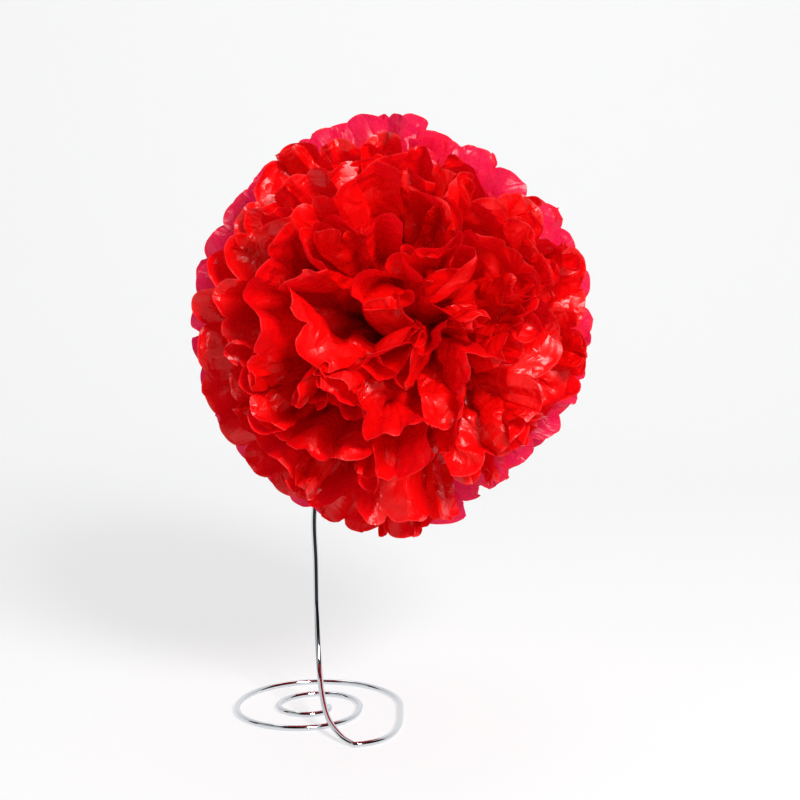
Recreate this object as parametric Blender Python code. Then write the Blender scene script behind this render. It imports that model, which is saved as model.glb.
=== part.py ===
"""Tissue paper pom pom hung on the hook of a bent wire stand.

Ten sheets of tissue paper are pleated together, tied across the middle and trimmed round at both
ends. Each sheet then opens into a left and a right fan, and the sheets are pulled apart one by one,
half of them towards the front and half towards the back, until they fill a ball. Paper can't stretch,
so its folds are settled here by position based dynamics on a net of points, and each solid is laid
through a part of that net.
Units are metres, +Z is up and the front of the ball faces -Y. The origin is on the floor under the
middle of the ball.
"""

import math

import bmesh
import bpy
import numpy as np
from mathutils import Vector

# The paper
SHEETS = 10
PANELS = 20  # flat panels between the folds of one sheet, each with one round end
PANEL_WIDTH = 0.0254
SHEET_WIDTH = 0.252  # across the tie, from round end to round end
TIE_OFFSET = 0.005  # the tie sits this far to the right of the sheets' middle
SCALLOP_DEPTH = 0.009
PAPER = 0.0001
PAPER_GAP = 0.0003  # between sheets in the tied waist
WAIST_STEP = 0.0008  # each sheet towards the middle bends this much farther out of the waist
WAIST_HEIGHT = 0.008  # the gathered pleats in the tie
LEAST_FACING = 0.3  # how much of the thickness stands across each facet at a sharp corner
TURN_STEPS = 60
SOFTEN_STEPS = 36
MOST_SLANT = 2.5  # the most that the paper is thickened along a fold's middle direction
SEAM_TOP = math.radians(85)  # where the left and right fans meet, from the right towards the top
SEAM_BOTTOM = math.radians(-74)

# Where the fans lie, in degrees: each fan's lean from its axis, and the axis's turn right and up
RIGHT_LEANS = (16.0, 33.0, 50.0, 66.0, 80.0)
LEFT_LEANS = (31.0, 44.0, 56.0, 68.5, 80.5)
RIGHT_TILTS = ((8.0, 13.0), (6.0, 9.0), (3.0, 5.0), (1.0, 2.0), (0.0, 0.0))
LEFT_TILTS = ((1.0, 5.0), (0.0, 3.0), (0.0, 1.5), (0.0, 0.0), (0.0, 0.0))
SEAM_SHIFT = 3.0
ROSE_SWEEP = (172.0, -172.0)  # the first fan of the right side is spread almost into a full rose
ROSE_LIMIT = 22.0

# The net of points that the paper is settled with
PER_PANEL = 3
COLUMNS = PANELS * PER_PANEL + 1
ROWS = 15
KEPT_ROWS = (0, 5, 9, 12)  # rows of the net that the solid keeps, before its round ends
RIM_BAND = 0.0115
FULL_WIDTH_FROM = 0.075
REST_U = PANEL_WIDTH / PER_PANEL
SETTLE_STEPS = 240
FASTEST = 0.0025
PUSH = 0.00012
SHAKE = 0.0015
CLEAR = 0.0012
STEM_ROOM = 0.0036
SEAM_GAP = 0.0007
WAVE_ANGLE = math.radians(4.5)
CRUMPLE = 0.0060
CRUMPLE_STEPS = 12

# The tie wire
TIE_DIAMETER = 0.0009
TIE_CLEARANCE = 0.0003
TIE_SLOT_CLEARANCE = 0.0006  # from the tie wire to the fans on both sides of it
TIE_CORNER = 0.0006  # cut off each corner of its turn round the pleats
TIE_TAIL = 0.008  # the free end below the hook
LOOP_STEPS = 8

# The stand
WIRE_DIAMETER = 0.0036
BALL_HEIGHT = 0.2425  # the tied waist above the floor
SPIRAL_CENTRE = Vector((-0.046, 0.0, 0.0))
SPIRAL_TAIL_RADIUS = 0.006
INNER_TURN_RADIUS = 0.0255
OUTER_TURN_RADIUS = 0.0510
FOOT_RADIUS = 0.0760
HOOK_DROP = 0.0305  # the hook's lowest point above the waist

POINTS_PER_TURN = 18
WIRE_BEVEL = 2  # eight sides
TIE_BEVEL = 1  # six sides

WIRE_RADIUS = WIRE_DIAMETER / 2
TIE_RADIUS = TIE_DIAMETER / 2
WAIST = Vector((TIE_OFFSET, 0.0, BALL_HEIGHT))
SHEET_PITCH = PAPER + PAPER_GAP
WAIST_HALF_LENGTH = TIE_DIAMETER + TIE_CLEARANCE / 2 + TIE_SLOT_CLEARANCE
SIDES = 8
FLAT_SIDE = math.pi / SIDES  # turns an eight-sided wire so that one flat side faces the floor
WIRE_REST = WIRE_RADIUS * math.cos(FLAT_SIDE)  # centre line of a wire that lies on the floor

rng = np.random.default_rng(11)


def smooth_step(value, low, high):
    """0 below low, 1 above high, and 3 t^2 - 2 t^3 between them."""
    t = np.clip((value - low) / (high - low), 0.0, 1.0)
    return t * t * (3.0 - 2.0 * t)


class Fan:
    """One half of one sheet: its axis, its lean and the turns it sweeps from and to, in radians."""

    def __init__(self, sheet, side):
        self.sheet = sheet
        self.side = side
        self.front = sheet < SHEETS // 2
        self.rank = min(sheet, SHEETS - 1 - sheet)
        leans, tilts = (RIGHT_LEANS, RIGHT_TILTS) if side > 0 else (LEFT_LEANS, LEFT_TILTS)
        self.lean = math.radians(leans[self.rank])
        right, up = (math.radians(part) for part in tilts[self.rank])
        facing = -1.0 if self.front else 1.0
        if not self.front:
            up = -0.4 * up
        self.axis = np.array([math.sin(right), facing * math.cos(right) * math.cos(up), math.sin(up)])
        self.axis /= np.linalg.norm(self.axis)
        shift = math.radians(SEAM_SHIFT) * (1 if self.front else -1)
        self.turns = [SEAM_BOTTOM + shift, SEAM_TOP + shift]
        if side < 0:
            self.turns = [SEAM_BOTTOM + shift, SEAM_TOP + shift - 2 * math.pi]
        elif self.rank == 0:
            self.turns = [math.radians(turn) for turn in reversed(ROSE_SWEEP)]
        self.waist_end = WAIST_HALF_LENGTH + self.rank * WAIST_STEP
        self.reach = SHEET_WIDTH / 2 - side * TIE_OFFSET - self.waist_end

    def frame(self):
        """Two directions across the axis: the first level to the right, the second upward."""
        level = np.array([1.0, 0.0, 0.0]) - self.axis[0] * self.axis
        level /= np.linalg.norm(level)
        upward = np.array([0.0, 0.0, 1.0]) - self.axis[2] * self.axis
        upward -= upward @ level * level
        return level, upward / np.linalg.norm(upward)


FANS = [Fan(sheet, side) for sheet in range(SHEETS) for side in (-1, 1)]


def panel_chain(fan):
    """Place along the arc (0 to 1) and depth (metres) of the 21 fold lines at the rim."""
    arc = fan.reach * math.sin(fan.lean) * abs(fan.turns[1] - fan.turns[0])
    forward = arc / (PANELS * PANEL_WIDTH)
    spread = 0.10 if fan.rank == 4 else 0.38
    shares = np.clip(forward + rng.normal(0.0, spread, PANELS), -0.5, 0.97)
    for _ in range(20):
        shares = np.clip(shares + (forward - shares.mean()), -0.55, 0.97)
    half_band = 0.105 * fan.reach
    depth = np.zeros(PANELS + 1)
    sign = rng.choice([-1.0, 1.0])
    for panel in range(PANELS):
        rise = PANEL_WIDTH * math.sqrt(1.0 - shares[panel] ** 2)
        keep = rng.uniform() < (0.15 if fan.rank == 4 else 0.35)
        ahead = depth[panel] + sign * rise
        if not keep or abs(ahead) > 1.7 * half_band:
            sign = -sign if abs(depth[panel] - sign * rise) < abs(ahead) + 0.006 else sign
        depth[panel + 1] = depth[panel] + sign * rise
    depth -= depth.mean()
    return np.concatenate([[0.0], np.cumsum(shares)]) / shares.sum(), depth


def start_points(fan):
    """Points (ROWS, COLUMNS, 3) of a fan laid on its own cone round its axis, and its flat points."""
    along, depth = panel_chain(fan)
    column = np.linspace(0, PANELS, COLUMNS)
    along = np.interp(column, np.arange(PANELS + 1), along)
    depth = np.interp(column, np.arange(PANELS + 1), depth)
    far = np.concatenate([np.linspace(0.0, fan.reach - RIM_BAND, ROWS - 1), [fan.reach]])
    level, upward = fan.frame()
    gathered = np.minimum(1.0, far / FULL_WIDTH_FROM)[:, None]
    turn = fan.turns[0] + (fan.turns[1] - fan.turns[0]) * along[None, :]
    lean = fan.lean + depth[None, :] * gathered / np.maximum(far[:, None], 0.02)
    out = far[:, None] * np.sin(lean)
    points = (
        (far[:, None] * np.cos(lean))[..., None] * fan.axis
        + (out * np.cos(turn))[..., None] * level
        + (out * np.sin(turn))[..., None] * upward
    )
    height = (np.linspace(0, 1, COLUMNS) - 0.5) * WAIST_HEIGHT
    at_tie = np.stack(np.broadcast_arrays(
        fan.side * fan.waist_end, (fan.sheet - (SHEETS - 1) / 2) * SHEET_PITCH, height
    ), axis=-1)
    points = points + at_tie * (1.0 - 0.8 * smooth_step(far, 0.0, 0.1))[:, None, None]
    return points


def facets(u, v, cell_u, cell_v, chance):
    """Height between -1 and 1, straight over each triangle of a shaken net of corners."""
    a = np.floor(u / cell_u).astype(int)
    b = np.floor(v / cell_v).astype(int)
    a0, b0 = a.min() - 2, b.min() - 2
    size = (a.max() - a0 + 4, b.max() - b0 + 4)
    corner_u = (np.arange(size[0])[:, None] + a0 + chance.uniform(-0.34, 0.34, size)) * cell_u
    corner_v = (np.arange(size[1])[None, :] + b0 + chance.uniform(-0.34, 0.34, size)) * cell_v
    lift = chance.uniform(-1.0, 1.0, size)
    height = np.zeros(u.shape)
    best = np.full(u.shape, -np.inf)
    for da in (-1, 0, 1):
        for db in (-1, 0, 1):
            i, j = a - a0 + da, b - b0 + db
            for corners in (((0, 0), (1, 0), (1, 1)), ((0, 0), (1, 1), (0, 1))):
                (ua, va, ha), (ub, vb, hb), (uc, vc, hc) = (
                    (corner_u[i + p, j + q], corner_v[i + p, j + q], lift[i + p, j + q]) for p, q in corners
                )
                area = (ub - ua) * (vc - va) - (uc - ua) * (vb - va)
                wb = ((u - ua) * (vc - va) - (uc - ua) * (v - va)) / area
                wc = ((ub - ua) * (v - va) - (u - ua) * (vb - va)) / area
                wa = 1.0 - wb - wc
                inside = np.minimum(np.minimum(wa, wb), wc)
                take = inside > best
                best = np.where(take, inside, best)
                height = np.where(take, wa * ha + wb * hb + wc * hc, height)
    return height


def pull(points, free, first, second, rest, stiffness):
    """Move two sets of points along the lines between them, towards the distance rest."""
    a, b = points[first], points[second]
    line = b - a
    length = np.linalg.norm(line, axis=-1, keepdims=True) + 1e-9
    wa, wb = free[first], free[second]
    change = stiffness * (length - rest) / (length * (wa + wb + 1e-9)) * line
    points[first] += wa * change
    points[second] -= wb * change


def rules(flat):
    """All pairs of points tied by a rule: (first, second, rest length, stiffness), as slices.

    Pairs in one group share no point, so a whole group can move at once.
    """
    found = []
    at_fold = (np.arange(COLUMNS) + 1) % PER_PANEL == 0
    fold_rest = rng.uniform(0.72, 1.0, (len(FANS), COLUMNS))

    def add(rows, columns, row_step, column_step, parity_axis, stiffness):
        for parity in (0, 1):
            if parity_axis == "column":
                first = np.arange(0, columns - abs(column_step))
                reach = max(1, abs(column_step))
                chosen = first[(first // reach) % 2 == parity]
                row_index = np.arange(0, rows - row_step)
                pick_rows, pick_columns = np.ix_(row_index, chosen)
                start_column = pick_columns if column_step >= 0 else pick_columns - column_step
            else:
                row_index = np.arange(0, rows - row_step)
                chosen = row_index[(row_index // max(1, row_step)) % 2 == parity]
                pick_rows, start_column = np.ix_(chosen, np.arange(columns))
            one = (slice(None), pick_rows, start_column)
            two = (slice(None), pick_rows + row_step, start_column + column_step)
            width = 0.5 * (flat[one][..., 0] + flat[two][..., 0]) * column_step
            step = np.hypot(width, flat[two][..., 1] - flat[one][..., 1])
            if column_step == 2:
                step = step * np.where(at_fold[start_column], fold_rest[:, None, :][..., start_column[0]], 1.0)
            rest = step[..., None]
            hold = stiffness[one][..., None] if isinstance(stiffness, np.ndarray) else stiffness
            found.append((one, two, rest, hold))

    add(ROWS, COLUMNS, 0, 1, "column", 1.0)
    add(ROWS, COLUMNS, 1, 0, "row", 1.0)
    add(ROWS, COLUMNS, 1, 1, "column", 0.9)
    add(ROWS, COLUMNS, 1, -1, "column", 0.9)
    crease = 0.35 * rng.uniform(0.0, 1.0, flat.shape[:3])
    add(ROWS, COLUMNS, 0, 2, "column", np.where(at_fold, 0.12, crease))
    add(ROWS, COLUMNS, 2, 0, "row", crease * 1.2)
    return found


def flat_places():
    """For each point the paper's width from column to column, less near the waist, and its height."""
    flat = np.zeros((len(FANS), ROWS, COLUMNS, 3))
    for index, fan in enumerate(FANS):
        far = np.concatenate([np.linspace(0.0, fan.reach - RIM_BAND, ROWS - 1), [fan.reach]])
        flat[index, :, :, 0] = REST_U * np.minimum(1.0, far / FULL_WIDTH_FROM)[:, None]
        flat[index, :, :, 1] = far[:, None]
        across, up = np.broadcast_arrays(np.arange(COLUMNS)[None, :] * REST_U, far[:, None])
        flat[index, :, :, 2] = CRUMPLE * facets(across, up, 0.019, 0.024, rng)
    return flat


def cone_limits():
    """For each fan its inner and its outer cone: axis, angle and the number of its waves, or none.

    A cone halfway between two neighbours is shared by both. The rose has its own, which the first
    fan of the left side shares too.
    """
    inner, outer = [], []
    for fan in FANS:
        family = [other for other in FANS if other.side == fan.side and other.front == fan.front]
        family.sort(key=lambda other: other.rank)
        rose = next(f for f in FANS if f.side > 0 and f.front == fan.front and f.rank == 0)
        number = (0 if fan.front else 100) + (0 if fan.side > 0 else 10) + fan.rank
        rose_cone = (rose.axis, math.radians(ROSE_LIMIT), (0 if fan.front else 100) + 1)

        def between(one, two, wave_number):
            axis = one.axis + two.axis
            return axis / np.linalg.norm(axis), 0.5 * (one.lean + two.lean), wave_number

        if fan is rose:
            inner.append((fan.axis, 0.02, None))
            outer.append(rose_cone)
            continue
        if fan.rank == 0 or family[fan.rank - 1] is rose:
            inner.append(rose_cone)
        else:
            inner.append(between(family[fan.rank - 1], fan, number))
        if fan.rank < len(family) - 1:
            outer.append(between(fan, family[fan.rank + 1], number + 1))
        else:
            outer.append((np.array([0.0, -1.0 if fan.front else 1.0, 0.0]), math.radians(89.0), None))
    return inner, outer


def wave(direction, chance_number):
    """A smooth wavy field between -1 and 1 over directions."""
    chance = np.random.default_rng(chance_number)
    total = 0.0
    for _ in range(5):
        way = chance.normal(size=3)
        way *= chance.uniform(4.0, 9.0) / np.linalg.norm(way)
        total = total + np.sin(direction @ way + chance.uniform(0, 2 * math.pi))
    return np.tanh(total / 2.0)


def wavy_limits(points, cones):
    """Axes, and limits in radians at every point, waves included."""
    axes = np.array([cone[0] for cone in cones])[:, None, None, :]
    limits = np.zeros(points.shape[:3] + (1,))
    for index, (_, angle, number) in enumerate(cones):
        limits[index] = angle
        if number is not None:
            way = points[index] / (np.linalg.norm(points[index], axis=-1, keepdims=True) + 1e-9)
            limits[index] += (WAVE_ANGLE * wave(way, number))[..., None]
    return axes, limits


def keep_between(points, axes, limits, sign):
    """Turn points about the cone's axis back to their side of it. sign 1 keeps them outside."""
    far = np.linalg.norm(points, axis=-1, keepdims=True)
    ahead = np.sum(points * axes, axis=-1, keepdims=True)
    across = points - ahead * axes
    beside = np.linalg.norm(across, axis=-1, keepdims=True) + 1e-9
    angle = np.arctan2(beside, ahead)
    slack = CLEAR / np.maximum(far, 0.004)
    new = angle + sign * np.maximum(0.0, sign * (limits - angle) + slack)
    return far * (np.cos(new) * axes + np.sin(new) * across / beside)


def surface_normals(points):
    """Unit normals of grids of points (..., rows, columns, 3), from the cross product of their two ways."""
    normal = np.cross(np.gradient(points, axis=-2), np.gradient(points, axis=-3))
    return normal / (np.linalg.norm(normal, axis=-1, keepdims=True) + 1e-12)


def seam_normals():
    """For each fan, the two seam planes' unit normals that point to its own side."""
    front = np.array([fan.front for fan in FANS])
    side = np.array([fan.side for fan in FANS])[:, None]
    shift = math.radians(SEAM_SHIFT) * np.where(front, 1, -1)
    top, bottom = SEAM_TOP + shift, SEAM_BOTTOM + shift
    above = np.stack([np.sin(top), 0 * top, -np.cos(top)], axis=1) * side
    below = np.stack([-np.sin(bottom), 0 * bottom, np.cos(bottom)], axis=1) * side
    return above, below


def settle(points):
    """Position based dynamics on all twenty fans at once."""
    flat = flat_places()
    bounds = rules(flat)
    inner, outer = cone_limits()
    free = np.ones(points.shape[:3] + (1,))
    free[:, :2] = 0.0
    free[:, 2] = 0.4
    movable = free[..., 0] > 0
    facing = np.array([-1.0 if fan.front else 1.0 for fan in FANS])[:, None, None]
    in_seam = np.array([fan.side < 0 or fan.rank > 0 for fan in FANS])[:, None, None]
    above, below = seam_normals()
    old = points.copy()
    for step in range(SETTLE_STEPS):
        speed = 0.86 * (points - old) * free
        old = points.copy()
        speed *= np.minimum(1.0, FASTEST / (np.linalg.norm(speed, axis=-1, keepdims=True) + 1e-9))
        points = points + speed
        far = np.linalg.norm(points, axis=-1, keepdims=True)
        points += free * PUSH * smooth_step(far, 0.03, 0.10) * points / (far + 1e-9)
        if step < SETTLE_STEPS // 2:
            points += free * rng.normal(0.0, SHAKE, points.shape) * smooth_step(far, 0.03, 0.08)
        if step % 20 == 0:
            inside, outside = wavy_limits(points, inner), wavy_limits(points, outer)
        if step == SETTLE_STEPS - CRUMPLE_STEPS:
            points += surface_normals(points) * flat[..., 2:] * smooth_step(far, 0.02, 0.06) * free
            bounds = [rule for rule in bounds if isinstance(rule[3], float)]
        for _ in range(2):
            for one, two, rest, stiffness in bounds:
                pull(points, free, one, two, rest, stiffness)
        far = np.linalg.norm(points, axis=-1, keepdims=True)
        points *= np.minimum(1.0, (flat[..., 1:2] + 0.001) / (far + 1e-9)) * free + (1.0 - free)
        for column, normal in ((0, below), (-1, above)):
            off = np.einsum("frx,fx->fr", points[:, :, column], normal) - SEAM_GAP
            hold = 0.35 * free[:, :, column, 0] * in_seam[:, :, 0] * off
            points[:, :, column] -= hold[..., None] * normal[:, None]
        kept = keep_between(points, *inside, 1.0)
        kept = keep_between(kept, *outside, -1.0)
        points = np.where(free > 0, kept, points)
        clear = np.minimum(STEM_ROOM, 0.12 * far[..., 0])
        points[..., 1] += np.where(movable, facing * np.maximum(0.0, clear - facing * points[..., 1]), 0.0)
        for normal, upward in ((above, 1.0), (below, -1.0)):
            over = np.einsum("frcx,fx->frc", points, normal) - SEAM_GAP
            crossed = (upward * points[..., 2] > 0) & in_seam & movable & (over < 0)
            points -= np.where(crossed, over, 0.0)[..., None] * normal[:, None, None, :]
    return points


def softened(net):
    """The net with its small folds averaged out from column to column, because a solid needs wider bends."""
    for _ in range(SOFTEN_STEPS):
        inner = 0.25 * net[:, :-2] + 0.5 * net[:, 1:-1] + 0.25 * net[:, 2:]
        net = np.concatenate([net[:, :1], inner, net[:, -1:]], axis=1)
    return net


def middle_of_paper(net):
    """Points of one fan from the waist to its round ends, as a list of rows from the settled net."""
    net = softened(net)
    rows = [net[row, ::PER_PANEL] for row in KEPT_ROWS]
    share = 1.0 - SCALLOP_DEPTH / RIM_BAND
    rim = np.zeros((2 * PANELS + 1, 3))
    rim[::2] = net[-2, ::PER_PANEL] * (1.0 - share) + net[-1, ::PER_PANEL] * share
    middle = np.arange(PANELS) * PER_PANEL + PER_PANEL // 2
    rim[1::2] = 0.5 * (net[-1, middle] + net[-1, middle + (PER_PANEL + 1) // 2])
    return rows, rim


def sheet_triangles(row_count):
    """Triangles of a sheet whose rows of fold points run from the left rim to the right one.

    Points are numbered row by row, with the two rims, which have twice as many points, at the end.
    """
    width = PANELS + 1
    triangles = []
    for row in range(row_count - 1):
        for panel in range(PANELS):
            first = row * width + panel
            ahead = first + width
            if (row + panel) % 2:
                triangles += [(first, ahead, ahead + 1), (first, ahead + 1, first + 1)]
            else:
                triangles += [(first, ahead, first + 1), (first + 1, ahead, ahead + 1)]
    left_rim = row_count * width
    right_rim = left_rim + 2 * PANELS + 1
    for panel in range(PANELS):
        for start, rim, turned in ((0, left_rim, True), ((row_count - 1) * width, right_rim, False)):
            one, two = start + panel, start + panel + 1
            notch, tip, next_notch = rim + 2 * panel, rim + 2 * panel + 1, rim + 2 * panel + 2
            for triangle in ((one, notch, tip), (one, tip, two), (two, tip, next_notch)):
                triangles.append(tuple(reversed(triangle)) if turned else triangle)
    return triangles


def half_thickness(points, triangles, waist_points):
    """For each point, the way from the paper's middle to its back face.

    It is the mean normal of the triangles around the point, turned until it faces each of them a
    little, and made longer where they stand steep to it.
    In the tied waist it is straight across the stack.
    """
    corners = points[triangles]
    normals = np.cross(corners[:, 1] - corners[:, 0], corners[:, 2] - corners[:, 0])
    units = normals / np.linalg.norm(normals, axis=1, keepdims=True)
    mean = np.zeros_like(points)
    for corner in range(3):
        np.add.at(mean, triangles[:, corner], units)
    mean /= np.linalg.norm(mean, axis=1, keepdims=True) + 1e-12
    mean[waist_points] = np.array([0.0, np.sign(mean[waist_points, 1].sum()), 0.0])
    for _ in range(TURN_STEPS):
        for corner in range(3):
            at = triangles[:, corner]
            short = np.maximum(0.0, LEAST_FACING - np.sum(mean[at] * units, axis=1))
            turned = np.zeros_like(points)
            np.add.at(turned, at, short[:, None] * units)
            turned[waist_points] = 0.0
            mean = mean + turned
            mean /= np.linalg.norm(mean, axis=1, keepdims=True) + 1e-12
    steepest = np.ones(len(points))
    for corner in range(3):
        np.minimum.at(steepest, triangles[:, corner], np.sum(mean[triangles[:, corner]] * units, axis=1))
    slant = 1.0 / np.clip(steepest, 1.0 / MOST_SLANT, 1.0)
    return mean * slant[:, None] * PAPER / 2


def make_sheet(sheet, nets, collection, material):
    """One sheet: two fans joined at the waist, with the paper's thickness and closed edges."""
    left_rows, left_rim = middle_of_paper(nets[2 * sheet])
    right_rows, right_rim = middle_of_paper(nets[2 * sheet + 1])
    rows = left_rows[::-1] + right_rows
    width = PANELS + 1
    points = np.concatenate([*rows, left_rim, right_rim]) + np.array(WAIST)
    triangles = np.array(sheet_triangles(len(rows)))
    waist_points = np.arange(len(left_rows) * width - width, len(left_rows) * width + width)
    back = half_thickness(points, triangles, waist_points)
    behind = len(points)
    faces = [tuple(int(corner) for corner in triangle) for triangle in triangles]
    faces += [tuple(int(behind + corner) for corner in reversed(triangle)) for triangle in triangles]
    edge_count = {}
    for a, b, c in faces[:len(triangles)]:
        for edge in ((a, b), (b, c), (c, a)):
            edge_count[edge] = edge_count.get(edge, 0) + 1
    for here, there in [edge for edge in edge_count if (edge[1], edge[0]) not in edge_count]:
        faces.append((there, here, behind + here, behind + there))
    mesh = bpy.data.meshes.new(f"tissue_sheet_{sheet + 1:02d}")
    mesh.from_pydata(np.concatenate([points + back, points - back]).tolist(), [], faces)
    shape = bmesh.new()
    shape.from_mesh(mesh)
    bmesh.ops.recalc_face_normals(shape, faces=shape.faces)
    shape.to_mesh(mesh)
    shape.free()
    mesh.materials.append(material)
    paper = bpy.data.objects.new(mesh.name, mesh)
    collection.objects.link(paper)
    return paper


def clear_scene():
    for thing in list(bpy.data.objects):
        bpy.data.objects.remove(thing, do_unlink=True)


def make_collection(name):
    collection = bpy.data.collections.new(name)
    bpy.context.scene.collection.children.link(collection)
    return collection


def make_material(name, colour, roughness, metallic):
    material = bpy.data.materials.new(name)
    material.use_nodes = True
    shader = material.node_tree.nodes["Principled BSDF"]
    shader.inputs["Base Color"].default_value = (*colour, 1.0)
    shader.inputs["Roughness"].default_value = roughness
    shader.inputs["Metallic"].default_value = metallic
    return material


def through_points(points, per_gap):
    """A smooth line through the points: a Catmull-Rom curve, read at per_gap places a gap."""
    ends = [2 * points[0] - points[1], *points, 2 * points[-1] - points[-2]]
    line = []
    for before, start, end, after in zip(ends, ends[1:], ends[2:], ends[3:]):
        for step in range(per_gap):
            t = step / per_gap
            line.append(0.5 * (
                2 * start
                + (end - before) * t
                + (2 * before - 5 * start + 4 * end - after) * t ** 2
                + (3 * start - before - 3 * end + after) * t ** 3
            ))
    return [*line, points[-1].copy()]


def make_wire(name, points, radius, bevel, collection, material):
    """A round wire along a line of points, closed at both ends."""
    curve = bpy.data.curves.new(name, "CURVE")
    curve.dimensions = "3D"
    curve.twist_mode = "Z_UP"
    curve.bevel_depth = radius
    curve.bevel_resolution = bevel
    curve.use_fill_caps = True
    spline = curve.splines.new("POLY")
    spline.points.add(len(points) - 1)
    for target, point in zip(spline.points, points):
        target.co = (*point, 1.0)
        target.tilt = FLAT_SIDE
    curve.materials.append(material)
    wire = bpy.data.objects.new(name, curve)
    collection.objects.link(wire)
    return wire


def spiral_radius(turns):
    """The spiral's radius: two round turns, with a smooth step out from each to what follows."""
    step_in = INNER_TURN_RADIUS - SPIRAL_TAIL_RADIUS
    step_out = OUTER_TURN_RADIUS - INNER_TURN_RADIUS
    step_foot = FOOT_RADIUS - OUTER_TURN_RADIUS
    return (
        SPIRAL_TAIL_RADIUS
        + step_in * smooth_step(turns, 0.0, 0.55)
        + step_out * smooth_step(turns, 1.0, 1.45)
        + step_foot * smooth_step(turns, 2.03, 2.2)
    )


def spiral_line():
    """The flat spiral of the base, from its tail outwards, clockwise seen from above."""
    foot_turns = 2.2
    count = round(foot_turns * POINTS_PER_TURN)
    line = []
    for index in range(count + 1):
        turns = foot_turns * index / count
        angle = -2 * math.pi * turns
        radius = spiral_radius(turns)
        line.append(SPIRAL_CENTRE + Vector((
            radius * math.cos(angle),
            radius * math.sin(angle),
            WIRE_REST,
        )))
    return line


def hook_seat():
    """The hook's lowest point, in the slot between the fans straight above the tied waist."""
    rise = HOOK_DROP - WAIST_HEIGHT / 2
    return WAIST + Vector((rise / math.tan(SEAM_TOP), 0.0, HOOK_DROP))


def stem_points(foot):
    """The stem's bends: back and up from the foot, then into the ball between its middle sheets.

    The lower bends are measured from the foot, those inside the ball from the waist, and the last
    ones from the hook's lowest point.
    """
    from_foot = [
        (-0.0075, 0.0085, 0.0020),
        (-0.0155, 0.0225, 0.0075),
        (-0.0200, 0.0400, 0.0165),
        (-0.0228, 0.0590, 0.0310),
        (-0.0245, 0.0700, 0.0600),
        (-0.0250, 0.0724, 0.0920),
    ]
    from_waist = [
        (-0.0530, 0.0, -0.1140),
        (-0.0465, 0.0, -0.0620),
        (-0.0392, 0.0, -0.0100),
        (-0.0355, 0.0, 0.0200),
        (-0.0285, 0.0, 0.0420),
        (-0.0160, 0.0, 0.0520),
        (-0.0065, 0.0, 0.0470),
    ]
    from_hook = [
        (-0.0048, 0.0, 0.0042),
        (0.0000, 0.0, 0.0000),
        (0.0048, 0.0, 0.0042),
        (0.0080, 0.0, 0.0110),
    ]
    hook = hook_seat()
    lines = ((foot, from_foot), (WAIST, from_waist), (hook, from_hook))
    return [start + Vector(bend) for start, bends in lines for bend in bends]


def make_stand(collection, material):
    """The whole stand, bent from one wire: spiral base, foot, stem and hook."""
    base = spiral_line()
    stem = through_points([base[-1], *stem_points(base[-1])], 2)
    return make_wire("wire_stand", base + stem[1:], WIRE_RADIUS, WIRE_BEVEL, collection, material)


def make_tie(collection, material):
    """The tie wire: one turn round the gathered pleats, then up and over the stand's hook."""
    pass_offset = (TIE_DIAMETER + TIE_CLEARANCE) / 2
    seat = TIE_RADIUS + TIE_CLEARANCE
    half_depth = (SHEETS * SHEET_PITCH - PAPER_GAP) / 2 + seat
    half_height = WAIST_HEIGHT / 2 + seat
    turn = [
        (0.0, half_height),
        (half_depth - TIE_CORNER, half_height),
        (half_depth, half_height - TIE_CORNER),
        (half_depth, TIE_CORNER - half_height),
        (half_depth - TIE_CORNER, -half_height),
        (TIE_CORNER - half_depth, -half_height),
        (-half_depth, TIE_CORNER - half_height),
        (-half_depth, half_height - TIE_CORNER),
        (TIE_CORNER - half_depth, half_height),
        (0.0, half_height),
    ]
    line = []
    for index, (back, up) in enumerate(turn):
        right = pass_offset * (1.0 - 2.0 * index / (len(turn) - 1))
        line.append(WAIST + Vector((right, back, up)))
    over_wire = WIRE_RADIUS + seat
    hook = hook_seat()
    for step in range(LOOP_STEPS + 1):
        share = step / LOOP_STEPS
        line.append(hook + Vector((
            pass_offset * (2.0 * share - 1.0),
            -over_wire * math.cos(math.pi * share),
            over_wire * math.sin(math.pi * share),
        )))
    line.append(hook + Vector((pass_offset, TIE_RADIUS, -TIE_TAIL)))
    return make_wire("tie_wire", line, TIE_RADIUS, TIE_BEVEL, collection, material)


def main():
    clear_scene()
    collection = make_collection("tissue_pom_pom")
    red_tissue = make_material("red_tissue", (0.78, 0.004, 0.012), 0.5, 0.0)
    chrome = make_material("chrome_wire", (0.80, 0.80, 0.82), 0.08, 1.0)
    tie_metal = make_material("tie_wire", (0.62, 0.62, 0.63), 0.35, 1.0)
    nets = settle(np.stack([start_points(fan) for fan in FANS]))
    for sheet in range(SHEETS):
        make_sheet(sheet, nets, collection, red_tissue)
    make_stand(collection, chrome)
    make_tie(collection, tie_metal)


main()
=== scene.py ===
# %% [markdown]
# A tissue paper pom pom, hung on a bent wire stand
#
# The real ball starts flat. Ten sheets of tissue are laid on each other, pleated like an accordion,
# tied across the middle with a wire and trimmed round at both ends. Then every sheet opens into two
# fans, left and right of the tie, and the sheets are pulled apart one by one: five towards the front
# and five towards the back. Tissue keeps its length, so where there is little room the paper stands
# in deep folds, and where there is much, at the rim, it lies almost flat.
#
# This lesson makes each sheet as one surface worked out with numpy, in the same frame as the CAD
# model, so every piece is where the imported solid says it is.

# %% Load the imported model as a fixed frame
import math

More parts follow.
